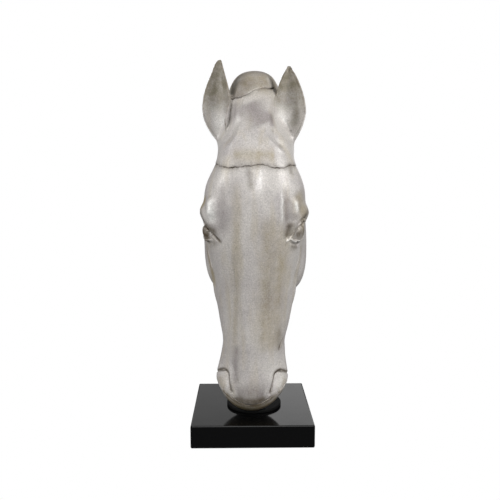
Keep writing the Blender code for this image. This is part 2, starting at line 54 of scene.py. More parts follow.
# The head, in millimetres: each line runs up one side from the lips to the crest as (height, out, back).
# The pairs that ramp() reads, here and below, are a start and a span.
head = {
    "height": 585, "turn": -4, "seatFlat": 1.5, "neckCut": 139,
    "grid": (121, 200), "rings": (0.012, 0.96),  # lines round and up, and where the lowest and highest lie
    "lipDepth": -50, "lipRound": 60,
    "crestRound": 100, "crestFall": 22, "fallBack": (50, 110), "fallUp": (440, 130),
    "skinStep": 2.9, "relaxRounds": 10, "earKeep": 0.6, "carvedDrift": 0.6, "lastDrift": 0.3,
    "middle": (  # how far the middle wanders sideways with height
        (0, 1.5), (60, 2.5), (150, 5.6), (240, 5), (300, 4), (385, 6), (425, 7.6), (460, 6.2), (500, 4),
        (600, 2.6),
    ),
    "face": (
        (0, 0, -88), (30, 0, -84), (60, 0, -80), (90, 0, -77), (120, 0, -76), (160, 0, -76), (205, 0, -77),
        (250, 0, -81), (300, 0, -87), (345, 0, -91), (385, 0, -91), (420, 0, -85), (440, 0, -79), (455, 0, -71),
        (470, 0, -61), (485, 0, -53), (500, 0, -48), (515, 0, -43), (530, 0, -35), (545, 0, -24), (560, 0, -11),
        (575, 0, 6), (585, 0, 34),
    ),
    "nasal": (
        (0, 18, -85), (30, 20, -80), (60, 22, -76), (90, 23, -72.5), (120, 24, -71.5), (160, 24.5, -71.5),
        (205, 25.5, -73), (250, 31, -77), (300, 40, -81), (345, 49, -82), (385, 50, -81), (420, 46, -75),
        (440, 41, -69), (455, 37, -64), (470, 33, -56), (485, 30, -48), (500, 29, -43), (515, 30, -37),
        (530, 32, -29), (545, 35, -17), (560, 40, -4), (575, 46, 13), (585, 50, 42),
    ),
    "cheek": (
        (0, 42, -74), (30, 44, -70), (60, 45, -63), (90, 41, -57), (120, 42, -53), (160, 45, -50),
        (205, 50, -50), (250, 57, -54), (300, 66, -59), (345, 74, -58), (385, 74, -56), (420, 62, -53),
        (455, 53, -44), (485, 39, -26), (510, 37, -13), (540, 44, 1), (560, 54, 14),
        (575, 62, 30), (585, 66, 56),
    ),
    "side": (
        (0, 60, -42), (30, 61, -41), (60, 61.5, -40), (90, 56.5, -32), (118, 53.5, -25), (146, 59.5, -18),
        (162, 62.5, -16), (190, 67.5, -12), (224, 71, -10), (275, 80, -12), (310, 84, -16), (345, 86, -16),
        (385, 83, -12), (405, 74.5, -10), (420, 66.5, -8), (455, 64.5, -4), (485, 61, 14), (510, 57, 28),
        (540, 59, 40), (560, 63, 48), (575, 66, 56), (585, 66, 70),
    ),
    "jaw": (
        (0, 50, -5), (30, 50, 0), (60, 49, 2), (90, 45, 2), (120, 45, 8), (160, 49, 24), (205, 54, 42),
        (230, 72, 52), (255, 82, 60), (300, 85, 68), (345, 79, 72), (380, 69, 72), (405, 63, 68), (420, 62, 68),
        (455, 63, 70), (485, 63, 72), (510, 62, 76), (540, 62, 80), (560, 63, 84), (575, 64, 88), (585, 64, 94),
    ),
    "jawEdge": (
        (0, 28, 24), (30, 28, 25), (60, 27, 26), (90, 25, 19), (120, 26, 24), (160, 31, 46), (205, 38, 72),
        (250, 54, 96), (290, 62, 116), (330, 60, 124), (365, 52, 116), (395, 46, 104), (415, 48, 116),
        (435, 54, 144), (455, 57, 150), (485, 58, 150), (585, 56, 150),
    ),
    "under": (
        (0, 0, 28), (30, 0, 30), (60, 0, 31), (90, 0, 19), (120, 0, 19), (160, 0, 36), (205, 0, 58),
        (250, 0, 82), (300, 0, 104), (345, 0, 110), (385, 0, 98), (405, 0, 104), (420, 0, 130), (440, 0, 165),
        (460, 0, 172), (585, 0, 172),
    ),
}
headLines = ("face", "nasal", "cheek", "side", "jaw", "jawEdge", "under")

# Round muscle of the cheek: middle and half sizes (out, back, up).
jowl = {"middle": (48, 58, 280), "half": (45, 68, 89), "squareness": 2.7, "grid": (64, 48)}

# Ears: stations as share of the length, width, depth, wall, hollow, middle out, middle back.
ears = {
    "root": 440, "width": 56.5, "depthShare": 0.34, "least": 0.5,
    "wall": 6, "wallMost": 0.6, "rimWall": 0.55, "floorPower": 1.4,
    "rim": 95,  # how far round the rims come from the back
    "taperUp": (0.55, 0.45), "tipUp": (0.88, 0.12), "curlUp": (0, 0.15), "curlEnd": (0.62, -0.31),
    "spreadUp": (0, 0.4), "spreadFall": 0.9,
    "near": 5, "clear": (1.5, 4), "settle": (456, 20),  # where the skin settles onto an ear's form
    "grid": (113, 110),
    # in each ear, shadeAt and the place after it say where round the cup its painted shade and painted light
    # run
    "right": {
        "side": 1, "length": 142.5, "turn": 3, "spread": -0.5, "lean": 3, "taper": -0.05, "curl": 8,
        "shadeAt": 0.66, "paintedLightAt": 0.84, "tip": -0.45,
    },
    "left": {
        "side": -1, "length": 153.5, "turn": 24, "spread": 4, "lean": 0, "taper": 0.03, "curl": 30,
        "shadeAt": 0.87, "paintedLightAt": 0.68, "tip": -0.05,
    },
    "stations": (
        (0, 0.52, 0.85, 1, 0, 45, 6), (0.1, 0.54, 0.85, 1, 0, 51, -4),
        (0.15, 0.6, 0.92, 2.2, 0.3, 53, -9), (0.21, 0.7, 1, 1.7, 0.85, 55, -14),
        (0.32, 0.86, 1.08, 1.1, 1, 58, -18), (0.45, 0.97, 1.08, 1, 1, 60, -18),
        (0.57, 0.93, 1, 1, 1, 60, -16), (0.7, 0.755, 0.82, 1, 1, 60, -14),
        (0.82, 0.525, 0.6, 1, 1, 59, -13), (0.91, 0.33, 0.42, 0.9, 0.9, 58, -12),
        (0.96, 0.24, 0.31, 0.8, 0.5, 57.5, -12), (0.985, 0.175, 0.22, 0.7, 0.1, 57, -12),
        (1, 0.1, 0.13, 0.6, 0, 57, -12),
    ),
}

# Carving: side (1 the viewer's right, -1 left, 0 both), half width, height (a groove is below zero), share of
# the path that fades at each end, and the path in (out, back, up).
lowerLid = (
    (54, -69, 292), (58.7, -66.6, 296), (62, -63.3, 297), (65.6, -60.4, 295.2), (69.2, -52.7, 292.3),
    (73.2, -51, 291.5), (76.5, -48.6, 291.5), (80, -46.4, 292.3), (84, -43, 294),
)
broadCarving = {
    "brow": (0, 11.5, 7, 0.28, (
        (58, -68, 300), (68, -60, 326), (82, -44, 340), (91, -22, 342), (92, 0, 332), (88, 14, 316))),
    "browRound": (0, 9, 6, 0.35, ((71, -64, 368), (70, -66, 354), (67.5, -67, 341), (64, -68, 328))),
    "foreheadEdge": (1, 5, 1.2, 0.35, ((46, -84, 376), (48, -83, 345), (47, -81, 312))),
    "leftTemple": (-1, 9, -1.6, 0.28, ((47, -81, 400), (45, -85, 361), (45, -82, 321), (42, -79, 289))),
    "rightTemple": (1, 6.5, -1.8, 0.3, (
        (51, -80, 385), (53.2, -76.7, 353), (54.4, -73.6, 329), (54.8, -70.5, 305))),
    "nasalGroove": (0, 6, -2.2, 0.2, (
        (40, -78, 285), (33, -78, 262), (29, -74, 231), (26, -71, 197), (25.5, -69, 155), (25, -69, 113),
        (27, -70, 84))),
    "cheekCrest": (0, 6, 3, 0.28, (
        (84, -6, 275), (78, -8, 250), (70, -8, 226), (66, -10, 200), (62, -14, 175))),
    "mouthCorner": (0, 5.5, 2.6, 0.35, ((55, -6, 116), (57, -12, 104), (55, -18, 92))),
    "rightFold": (1, 3.4, 2.4, 0.3, (
        (15, -64, 468), (18.9, -65.5, 463), (26, -69, 456), (34, -69, 447), (43, -67, 440), (52, -61, 434))),
    "rightValley": (1, 9, -4.5, 0.28, (
        (25.5, -48, 488), (30.6, -50.5, 473), (38, -62, 460), (46, -61, 449), (56, -54, 441))),
    "leftFold": (-1, 4, 1.8, 0.3, (
        (42, -64, 444), (36.8, -67, 450), (31, -67, 458), (25, -58, 472), (23, -52, 484))),
    "leftValley": (-1, 9, -3, 0.28, ((26, -46, 500), (31, -50, 480), (40, -56, 464), (52, -52, 450))),
}
fineCarving = {
    "leftCheekEdge": (-1, 2.2, 2.2, 0.2, (
        (80, -12, 281), (77.2, -21, 272), (75, -21, 262), (72.7, -21, 250), (68, -29, 237))),
    "leftCheekGroove": (-1, 2.4, -2.6, 0.2, ((85, 4, 277), (83, 2, 266), (80, -2, 254), (76, -12, 244))),
    "rightCheekEdge": (1, 2.4, 1, 0.25, (
        (80, -26, 287), (78, -21, 279), (76, -15, 256), (71, -22, 243), (66, -30, 232))),
    "rightCheekGroove": (1, 2.6, -1.2, 0.25, ((83, -20, 285), (81, -12, 272), (79.5, -8, 256), (74, -14, 243))),
    "foreheadBright": (1, 2.2, 0.9, 0.35, (
        (45, -84, 372), (48, -84, 360), (46.5, -84.6, 350), (49, -83.4, 336), (47.4, -81, 320))),
    "noseTip": (-1, 5.5, -1.4, 0.3, ((34, -66, 95), (29, -71, 80), (23, -75, 64), (18, -78, 52))),
    "rightWing": (1, 3, 0.5, 0.3, ((37, -68, 78), (33, -72, 60), (29, -74, 44))),
    "mouthFold": (1, 2, -1.8, 0.25, ((52, -35, 128.6), (48, -43, 119), (43, -52, 106))),
    "mouthFoldLeft": (-1, 1.6, -1, 0.25, ((55, -20, 122), (53, -30, 114), (48, -40, 104))),
    "nostrilHook": (1, 1.8, -0.6, 0.3, ((26, -74, 42), (31, -72, 39), (36, -69, 38))),
    "lipRidge": (1, 2.4, 0.4, 0.3, ((33, -71, 37), (39, -66, 39), (46, -58, 44))),
}
eyeCarving = {
    "leftCrease": (-1, 2.8, -2.6, 0.2, (
        (88.6, -8, 323), (81, -30.4, 317.7), (73.2, -50.7, 313.3), (68.5, -55, 308.7), (62, -62, 302.7),
        (56.5, -65.2, 298.6), (50.5, -69.2, 294), (46, -75.8, 291))),
    "leftLowerLid": (-1, 1.3, 2, 0.2, ((84, -36, 291.5), (77.8, -48.6, 293), (72, -50, 295.5), (69, -54, 297))),
    "leftUnderLid": (-1, 1.6, -1, 0.25, ((80, -42, 287), (72, -50, 289), (64, -60, 291))),
    "rightCrease": (1, 1.5, -3, 0.12, (
        (58, -68, 298), (65.5, -62, 305), (69.5, -61, 311.4), (73, -60.6, 317), (77.2, -55.8, 321.2),
        (81.3, -42, 322), (86, -11, 318))),
    "foldArc": (1, 1.4, 2.2, 0.12, (
        (70, -62, 312), (73.3, -61, 320.4), (76, -58.4, 324), (80.5, -39, 325), (84.4, -23.6, 325),
        (87.8, -10, 323))),
    "overFold": (1, 1.6, -2.2, 0.2, (
        (72, -63, 322), (76, -60, 328), (81, -42, 330), (86, -24, 330), (90, -10, 328))),
    "upperLidRim": (1, 1.3, 0.8, 0.12, (
        (64, -62, 298), (67.2, -58, 302), (69.9, -58, 308.7), (72, -59, 313), (74.8, -57.7, 316),
        (78, -49, 318), (80.4, -45.6, 319.4), (83, -37, 316))),
    "lowerLidRim": (1, 1.5, 2.2, 0.1, lowerLid),
    "underLid": (1, 2, -1.8, 0.2, (
        (59, -61.7, 289.7), (63, -57.5, 290), (68.3, -48.3, 287.7), (75, -38, 285.7), (82, -30, 285.5))),
    "innerCorner": (1, 3.2, -2, 0.25, ((60, -70.5, 322), (57.3, -69, 308), (56, -67.7, 296.5))),
    "wrinkleOne": (1, 1.1, -1, 0.3, ((80, -50, 336), (85, -34, 335), (90, -18, 333))),
    "wrinkleTwo": (1, 1.1, -0.9, 0.3, ((83, -48, 342), (88, -32, 341), (92, -16, 338))),
}

mouth = {
    "path": (
        (0, -75.6, 20), (6, -75.5, 20), (12, -75, 21), (22, -73, 25), (34.8, -69.7, 32), (46, -62, 38.5),
        (51.5, -55.6, 42), (56, -42, 48), (58, -30, 58), (57, -22, 80), (55, -16, 100), (54, -12, 116),
    ),
    "frontCount": 8, "halfWidth": 2, "depth": 2.8, "fade": 0.12, "front": (0.6, 0.25),
    "setBack": 2, "lowerDown": (-1, 2), "lowerFront": (-30, -15),
}

# Eye: the ball's middle, the way out of the socket and along the lids, and the lids as (along, upper, lower).
eye = {
    "middle": (64.5, -30, 309), "out": (0.862, -0.5, 0.03), "along": (0.426, 0.766, 0.482), "radius": 21.5,
    "lids": ((-26, 0, -1), (-19, 6, -7), (-10, 11, -13), (2, 14, -17), (13, 12, -15), (23, 7, -9), (30, 0, 0)),
    "lidThickness": 2.6, "lidRim": 2, "lidReach": 13, "lidEnd": 2.2, "lidStations": 40, "reach": 3,
}

# Nostril: its edge (out, back, up) from the outer end over the top and down the inner side.
nostril = {
    "line": (
        (66, -24, 56), (63, -33, 64), (59, -41, 68), (54.5, -46, 71.5), (46.5, -56, 75), (40, -63.5, 72),
        (37.3, -66.3, 61), (33.6, -70, 48), (30.5, -72, 38),
    ),
    "topCount": 6, "depth": 4.2, "reach": 36, "sideStart": -52, "sideWeight": 0.8, "lip": 2.2,
    # how dark the painted shade along the nostril's edge is
    "foot": 26, "groove": (1.9, 0.06), "grooveDepth": 1.8, "edgeShade": 0.65,
}

# Cracks right round the casting: mm above the seat as (sideways, up), waver, half width, depth, step above it.
cracks = {
    "forehead": {
        "line": (
            (-80, 420), (-63, 419), (-54, 415), (-44, 412), (-33, 412), (-21.5, 413), (-9, 414.5), (2, 415.3),
            (13, 417.5), (20, 414.5), (33.5, 411.4), (42, 411), (49, 412.4), (56, 415.5), (62, 417), (80, 415),
        ),
        "half": 0.65, "depth": 0.8, "step": 0.5, "reach": 14, "waver": 0.9, "wider": 0.3,
    },
    "crest": {
        "line": (
            (-60, 524), (-42, 526.5), (-34.7, 528), (-24, 528.5), (-12.5, 531.3), (-6, 535.5), (-1.2, 539.2),
            (6, 542.5), (15, 546.3), (22, 545.6), (28, 545.8), (36, 548), (43, 546.3), (60, 547),
        ),
        "half": 1.1, "depth": 3, "step": -1.6, "reach": 30, "waver": 1.1, "wider": 0.8,
    },
}
crackEdge = {
    "waves": ((17, 0.6), (7.3, 0.35), (3.1, 0.2)), "shift": 1.7,  # the waver's wavelengths and shares
    "flatTop": (0.85, -0.25), "sides": (12, 16), "rise": (-0.7, 1.4), "fill": 1.3, "shadeRise": 2,
}

# Where the skin is made finer before it is carved: zones as middle (out, back, up) and reach, and distances.
fineSkin = {
    "zones": (
        ((72, -40, 312), 32), ((42, -60, 50), 26), ((52, -45, 62), 22), ((24, -72, 24), 24),
        ((45, -58, 36), 20), ((50, -36, 118), 14), ((76, -14, 258), 16),
    ),
    "earBack": 4, "crackReach": 5,
    "nostrilReach": 4.5, "mouthReach": 3.5, "halves": 2.2, "crackLine": 2, "lineBack": 10,
}

# What darkens the skin: painted shade in the eye creases, hollows as rounds and size, and the ears' lines as
# low, high and half width.
paintedCreaseShade = {"leftCrease": 0.8, "rightCrease": 0.6}
recess = {"fineRecess": (4, 0.00045), "broadRecess": (60, 0.003)}
# the ears: painted shade towards their tops and along one side of each cup, painted light on the cup floors,
# and brown rim lines
earTones = {
    "pale": (0.12, 0.52, 14), "shade": (0.25, 0.95, 9), "rim": (0.13, 0.99, 1.6),
    "topUp": (488, 56), "paintedLightUp": (530, -40), "cup": 0.75, "edge": 0.3, "stations": 60, "fade": 0.15,
}

# Stains, painted shade and painted highlights on the silver, by tone: side, half width, share, fade and path,
# as for the carving. Gloss is the lacquer's thickness.
cheekEdge = ((86, -8, 290), (80, -8, 262), (72, -12, 235), (64, -20, 205))
# olive tone, and painted shade in leftEdge, rightEdge and lowerLip: the cheeks' sides and the lower lip darker
# where shade falls
oliveTonesAndShade = {
    "leftBand": (-1, 7, 0.4, 0.15, (
        (26.6, -88, 405), (25, -88, 370), (24, -87, 314), (25, -80, 270), (26.2, -74, 231), (29, -70, 190),
        (30.8, -66, 146), (31.3, -66, 86))),
    "rightBridge": (1, 11, 0.45, 0.12, (
        (25, -86, 345), (24, -80, 282), (20, -75, 228), (18, -73, 165), (18, -72, 100))),
    "rightSide": (1, 19, 0.5, 0.12, (
        (56, -74, 330), (50, -70, 280), (44, -66, 230), (40, -62, 190), (39, -60, 150), (40, -58, 100))),
    "leftEdge": (-1, 11, 0.85, 0.2, cheekEdge),
    "rightEdge": (1, 8, 0.35, 0.2, cheekEdge),
    "overCrack": (0, 11, 0.55, 0.15, ((0, -80, 430), (18, -79, 431), (34, -74, 430))),
    "lowerLip": (0, 16, 1, 0.08, ((0, -66, 4), (16, -66, 6), (32, -60, 10), (46, -50, 20))),
    "leftBrowSide": (-1, 8, 1, 0.3, ((80, -52, 372), (86, -44, 358), (91, -32, 346), (94, -14, 338))),
    "rightBrow": (1, 20, 0.7, 0.2, (
        (70, -64, 380), (78, -58, 356), (84, -48, 338), (86, -30, 318), (84, -30, 296))),
    "dome": (0, 40, 0.5, 0.05, ((0, -10, 562), (20, -8, 562), (44, 0, 556))),
    "nostril": (0, 10, 0.4, 0.2, ((54, -46, 62), (50, -54, 50), (44, -62, 40))),
}
# brown stains, and painted shade in the rows round the eyes, on the lips, along nostrilEdge and in cheekGroove
brownStainsAndShade = {
    "rightGroove": (1, 5.5, 0.2, 0.2, ((27, -75, 240), (24.5, -73, 222), (23.5, -72, 205), (23, -71, 170))),
    "rightMouth": (1, 6, 0.28, 0.25, ((44, -52, 152), (44, -50, 128), (46, -54, 100))),
    "streak": (-1, 5, 0.45, 0.3, ((8, -84, 416), (7, -86, 405), (4, -90, 390), (3, -91, 372))),
    "crackRim": (0, 5, 0.45, 0.05, (
        (0, -82, 416), (20, -82, 415), (42, -76, 412), (58, -60, 416), (66, -44, 418))),
    "rightCrown": (1, 6, 0.45, 0.3, ((58, -66, 424), (59, -66, 410), (60, -68, 396))),
    "mouthSpot": (1, 4.5, 0.5, 0.3, ((52, -34, 131), (50, -38, 124), (47, -44, 117), (43, -52, 106))),
    "noseSpot": (1, 3.5, 0.5, 0.3, ((30, -73, 36), (34, -71, 33), (40, -66, 30))),
    "lipShade": (0, 9, 0.6, 0.1, ((0, -66, 5), (14, -66, 7), (30, -62, 12), (44, -54, 22), (54, -40, 36))),
    "lipLine": (0, 3, 0.9, 0.1, (
        (0, -75, 18), (11, -75, 19), (22, -73, 23), (35, -69, 30), (46, -62, 37), (52, -55, 41))),
    "leftSocket": (-1, 4.5, 0.9, 0.12, (
        (88.6, -8, 323), (81, -30.4, 317.7), (73.2, -50.7, 313.3), (62, -62, 302.7), (50.5, -69.2, 294),
        (46, -75.8, 291))),
    "leftBall": (-1, 14, 0.95, 0.2, ((88, -22, 308), (82, -36, 306), (76, -44, 304), (70, -52, 301))),
    "leftPouch": (-1, 6, 0.45, 0.3, ((54, -70, 289), (66, -58, 289), (78, -46, 287), (88, -34, 286))),
    "leftBrowEdge": (-1, 7, 0.6, 0.3, ((78, -58, 330), (86, -42, 334), (92, -22, 338), (94, -4, 332))),
    "rightBall": (1, 9, 0.8, 0.2, ((88, -24, 309), (82, -40, 307), (76, -50, 304), (70, -56, 300))),
    "rightLids": (1, 7, 0.6, 0.2, ((92, -16, 332), (88, -34, 332), (82, -52, 329), (76, -62, 322))),
    "rightCorner": (1, 7, 0.6, 0.25, ((64, -69, 330), (60, -70, 318), (57, -70, 306), (55, -70, 296))),
    "rightPouch": (1, 6, 0.5, 0.3, ((58, -64, 286), (68, -56, 284), (78, -46, 283), (88, -34, 284))),
    "domeLeft": (-1, 16, 0.42, 0.3, ((6, -30, 538), (14, -26, 548), (20, -18, 562), (22, -8, 572))),
    "crestLeft": (-1, 4, 0.4, 0.1, ((4, -34, 541), (12, -34, 534), (28, -28, 531), (46, -10, 530))),
    "crestRight": (1, 4, 0.35, 0.1, ((2, -32, 543), (16, -30, 549), (30, -22, 550), (46, -6, 550))),
    "upperLip": (0, 7.5, 0.85, 0.3, ((0, -77, 28), (10, -76, 28), (20, -74, 31), (28, -71, 36))),
    "nostrilEdge": (0, 3, 0.85, 0.08, nostril["line"]),
    "leftSocketUpper": (-1, 8.5, 0.75, 0.2, (
        (88, -16, 331), (80, -38, 326), (71, -56, 320), (63, -66, 310), (54, -73, 300))),
    "cheekGroove": (-1, 3.2, 0.55, 0.2, ((86, 4, 284), (84, 2, 266), (81, -2, 254), (76, -12, 242))),
    "upperLidShade": (1, 3, 0.55, 0.1, (
        (64, -62, 298), (69.9, -58, 308.7), (74.8, -57.7, 316), (80.4, -45.6, 319.4), (83, -37, 316))),
}
# painted shade with a lilac tint: in the temple grooves, on the poll between the ears, at the right ear's foot,
# on the nose tip and beside the nose
lilacShades = {
    "rightTemple": (1, 6, 0.55, 0.2, ((52, -79, 372), (54, -76, 345), (55, -73, 318), (56, -69, 298))),
    "pollHollow": (1, 24, 0.8, 0.2, ((-8, -42, 524), (-2, -46, 512), (8, -52, 498), (20, -56, 478))),
    "pollLeft": (-1, 12, 0.55, 0.3, ((30, -34, 526), (30, -40, 508), (30, -46, 488))),
    "rightEarFoot": (1, 8, 0.85, 0.3, ((26, -40, 506), (28, -46, 490), (34, -54, 474))),
    "leftTemple": (-1, 13, 0.45, 0.3, ((48, -80, 408), (50, -80, 380), (46, -82, 330), (44, -76, 288))),
    "muzzle": (0, 14, 0.55, 0.2, ((0, -80, 46), (12, -78, 44), (24, -74, 40))),
    "leftGroove": (-1, 5.5, 0.6, 0.15, (
        (28, -72, 125), (28, -71, 98), (27, -71, 76), (25, -73, 62), (19, -76, 52))),
}
# painted light: paler patches where highlights fall on the brows, the lower lid's rim, the forehead's right
# edge, the nostril wing and the dome's sides
paintedHighlights = {
    "rightWing": (1, 6, 0.5, 0.25, ((52, -50, 66), (48, -55, 54), (43, -62, 42))),
    "leftBrow": (-1, 7.5, 1, 0.3, ((68, -68, 366), (68, -67, 350), (65, -68, 334), (60, -70, 320))),
    "rightBrow": (1, 3.5, 0.8, 0.35, ((67, -67, 362), (68, -66, 350), (68, -65, 338))),
    "domeSides": (0, 6, 0.3, 0.15, ((26, -6, 574), (34, -8, 566), (37, -6, 555), (38, -6, 546))),
    "lid": (1, 1.8, 0.6, 0.1, lowerLid),
    "rightRidge": (1, 2.2, 0.7, 0.3, (
        (45, -84, 372), (48, -84, 360), (46.5, -84.6, 350), (49, -83.4, 336), (47.4, -81, 318))),
}
glossStains = {
    "forehead": (1, 10, 0.75, 0.3, (
        (6, -86, 416), (9, -89, 398), (13, -90, 380), (28, -88, 369), (44, -85, 366))),
    "brow": (0, 7, 1, 0.3, ((69, -66, 354), (68, -67, 340), (65, -68, 326))),
    "fold": (1, 5, 1, 0.2, ((15, -64, 468), (26, -69, 456), (43, -67, 440), (52, -61, 434))),
    "leftFold": (-1, 5, 1, 0.3, ((42, -64, 444), (31, -67, 458), (25, -58, 472))),
    "nose": (0, 13, 0.5, 0.1, ((0, -92, 360), (0, -80, 230), (0, -76, 90))),
    "eye": (1, 9, 0.8, 0.2, ((88, -24, 308), (80, -42, 304))),
    "crown": (1, 3, 1, 0.3, ((44, -74, 428), (45, -76, 420), (47, -77, 408))),
}
stainsAndPaintedLight = {
    "olive": oliveTonesAndShade, "brown": brownStainsAndShade, "lilac": lilacShades, "pale": paintedHighlights, "gloss": glossStains,
}


def smoothStep(value):
    value = np.clip(value, 0, 1)
    return value * value * (3 - 2 * value)


def ramp(value, start, span):
    # from 0 at the start to 1 a span further on, or before it where the span is below zero
    return smoothStep((value - start) / span)


def bell(distance, half):
    return np.exp(-((distance / half) ** 2))


def curveAt(stations, along):
    # smooth curve through stations, whose first column runs evenly up
    stations = np.array(stations, float)
    steps = stations[:, 0]
    slopes = np.gradient(stations, steps, axis=0)
    k = int(np.clip(np.searchsorted(steps, along) - 1, 0, len(steps) - 2))
    span = steps[k + 1] - steps[k]
    s = (along - steps[k]) / span
    value = (2 * s**3 - 3 * s**2 + 1) * stations[k] + (s**3 - 2 * s**2 + s) * span * slopes[k]
    value += (3 * s**2 - 2 * s**3) * stations[k + 1] + (s**3 - s**2) * span * slopes[k + 1]
    return value[1:]


def smoothPath(points, count=40):
    points = np.array(points, float)
    lengths = np.concatenate([[0], np.cumsum(np.linalg.norm(np.diff(points, axis=0), axis=1))])
    stations = np.column_stack([lengths, points])
    return np.array([curveAt(stations, along) for along in np.linspace(0, lengths[-1], count)])


def objectOf(bm, name):
    mesh = bpy.data.meshes.new(name)
    bm.to_mesh(mesh)
    bm.free()
    made = bpy.data.objects.new(name, mesh)
    bpy.context.scene.collection.objects.link(made)
    return made


def bmeshOf(mesh):
    bm = bmesh.new()
    bm.from_mesh(mesh)
    return bm


def warpedTube(around, rows, place, name):
    # a grid whose columns run round and whose rows run along, sewn shut
    bm = bmesh.new()
    bmesh.ops.create_grid(bm, x_segments=around, y_segments=rows, size=1.0)
    for v in bm.verts:
        v.co = place((v.co.x + 1) / 2 % 1.0, (v.co.y + 1) / 2)
    bmesh.ops.remove_doubles(bm, verts=bm.verts, dist=0.001)
    bmesh.ops.holes_fill(bm, edges=[e for e in bm.edges if e.is_boundary], sides=0)
    bmesh.ops.recalc_face_normals(bm, faces=bm.faces)
    return objectOf(bm, name)


def closedCurve(corners, share):
    # a point on the smooth closed curve through the corners
    count = len(corners)
    k = int(share * count) % count
    s = share * count - int(share * count)
    p0, p1, p2, p3 = (corners[(k + j - 1) % count] for j in range(4))
    d01, d12, d23 = (max(np.linalg.norm(b - a), 1e-6) for a, b in ((p0, p1), (p1, p2), (p2, p3)))
    m1 = ((p1 - p0) / d01 * d12 + (p2 - p1) / d12 * d01) / (d01 + d12) * d12
    m2 = ((p2 - p1) / d12 * d23 + (p3 - p2) / d23 * d12) / (d12 + d23) * d12
    start = (2 * s**3 - 3 * s**2 + 1) * p1 + (s**3 - 2 * s**2 + s) * m1
    return start + (3 * s**2 - 2 * s**3) * p2 + (s**3 - s**2) * m2


def bodyCorners(height):
    half = [curveAt(head[line], height) for line in headLines]
    if height < head["lipRound"]:
        opened = np.sqrt(1 - ((head["lipRound"] - height) / head["lipRound"]) ** 2)
        half = [np.array((x * opened, head["lipDepth"] + (y - head["lipDepth"]) * opened)) for x, y in half]
    over = height - (head["height"] - head["crestRound"])
    if over > 0:
        opened = np.sqrt(1 - (over / head["crestRound"]) ** 2)
        half = [np.array((x * opened, y)) for x, y in half]
    return half + [p * (-1, 1) for p in reversed(half[1:-1])]


def bodyForm():
    corners = {}
    low, high = head["rings"]

    def place(roundShare, upShare):
        height = head["height"] * (1 - np.cos(np.pi * (low + (high - low) * upShare))) / 2
        if upShare not in corners:
            corners[upShare] = bodyCorners(height)
        x, y = closedCurve(corners[upShare], roundShare)
        fall = head["crestFall"] * ramp(y, *head["fallBack"]) * ramp(height, *head["fallUp"])
        return Vector((x, y, height - fall))

    return warpedTube(*head["grid"], place, "bodyForm")


def jowlForm(side):
    bm = bmesh.new()
    around, rows = jowl["grid"]
    bmesh.ops.create_uvsphere(bm, u_segments=around, v_segments=rows, radius=1.0)
    power = 2 / jowl["squareness"]
    for v in bm.verts:
        v.co = Vector([np.sign(c) * abs(c) ** power * r for c, r in zip(v.co, jowl["half"])])
        v.co = (v.co + Vector(jowl["middle"])) * Vector((side, 1, 1))
    bmesh.ops.recalc_face_normals(bm, faces=bm.faces)
    return objectOf(bm, "jowlForm")


def earPoint(ear, roundShare, upShare):
    # round the back from rim to rim, then back across the cup; the inner rim curls in near the root
    width, depth, wall, hollow = curveAt(ears["stations"], upShare)[:4]
    width *= 1 - ear["taper"] * ramp(upShare, *ears["taperUp"])
    width *= 1 + ear["tip"] * ramp(upShare, *ears["tipUp"])
    a = max(ears["width"] / 2 * width, ears["least"])
    b = max(ears["width"] * ears["depthShare"] * depth, ears["least"])
    thick = min(ears["wall"] * wall, ears["wallMost"] * a)
    innerRim = ears["rim"] + ear["curl"] * ramp(upShare, *ears["curlUp"]) * ramp(upShare, *ears["curlEnd"])
    outside = roundShare < 0.5
    across = 2 * roundShare if outside else 2 - 2 * roundShare
    turn = np.radians((ears["rim"] + innerRim) * across - innerRim)
    if outside:
        return a * np.sin(turn), b * np.cos(turn)
    sunk = max(np.cos(turn), 0.0)
    floorLevel = (b - thick) * np.clip(hollow, 0, 1) * sunk ** ears["floorPower"] + b * min(np.cos(turn), 0.0)
    return (a - thick * (ears["rimWall"] + (1 - ears["rimWall"]) * sunk)) * np.sin(turn), floorLevel


def earPlace(ear, roundShare, upShare):
    out, back = curveAt(ears["stations"], upShare)[4:]
    x, y = Matrix.Rotation(np.radians(ear["turn"]), 2) @ Vector(earPoint(ear, roundShare, upShare))
    out += ear["spread"] * ramp(upShare, *ears["spreadUp"]) * (1 - ears["spreadFall"] * upShare)
    out += ear["lean"] * upShare**3
    return Vector((ear["side"] * (out + x), back + y, ears["root"] + upShare * ear["length"]))


def earForm(ear):
    return warpedTube(*ears["grid"], lambda roundShare, upShare: earPlace(ear, roundShare, upShare), "earForm")


def alongEars(points, place, low, high, half):
    # a soft line up both ears at one place round them, given as a share or by its name in each ear
    shade = np.zeros(len(points))
    for ear in (ears["right"], ears["left"]):
        heights = np.linspace(low, high, earTones["stations"])
        line = np.array([earPlace(ear, ear.get(place, place), up) for up in heights])
        distance, share = pathDistance(points, line)
        shade = np.maximum(shade, bell(distance, half) * ramp(share, 0, earTones["fade"]))
    return shade


def oneSkin(forms, step):
    # one even skin round several forms that overlap
    bm = bmesh.new()
    for form in forms:
        bm.from_mesh(form.data)
    joined = objectOf(bm, "headSkin")
    remesh = joined.modifiers.new("union", "REMESH")
    remesh.mode = "VOXEL"
    remesh.voxel_size = step
    graph = bpy.context.evaluated_depsgraph_get()
    mesh = bpy.data.meshes.new_from_object(joined.evaluated_get(graph))
    for form in (*forms, joined):
        bpy.data.objects.remove(form)
    return mesh


def columnsOf(items, key, width, kind=np.float32):
    values = np.empty(len(items) * width, kind)
    items.foreach_get(key, values)
    return values.reshape(-1, width)


def pointsOf(mesh):
    return columnsOf(mesh.vertices, "co", 3).astype(float)


def normalsOf(mesh):
    return columnsOf(mesh.vertex_normals, "vector", 3).astype(float)


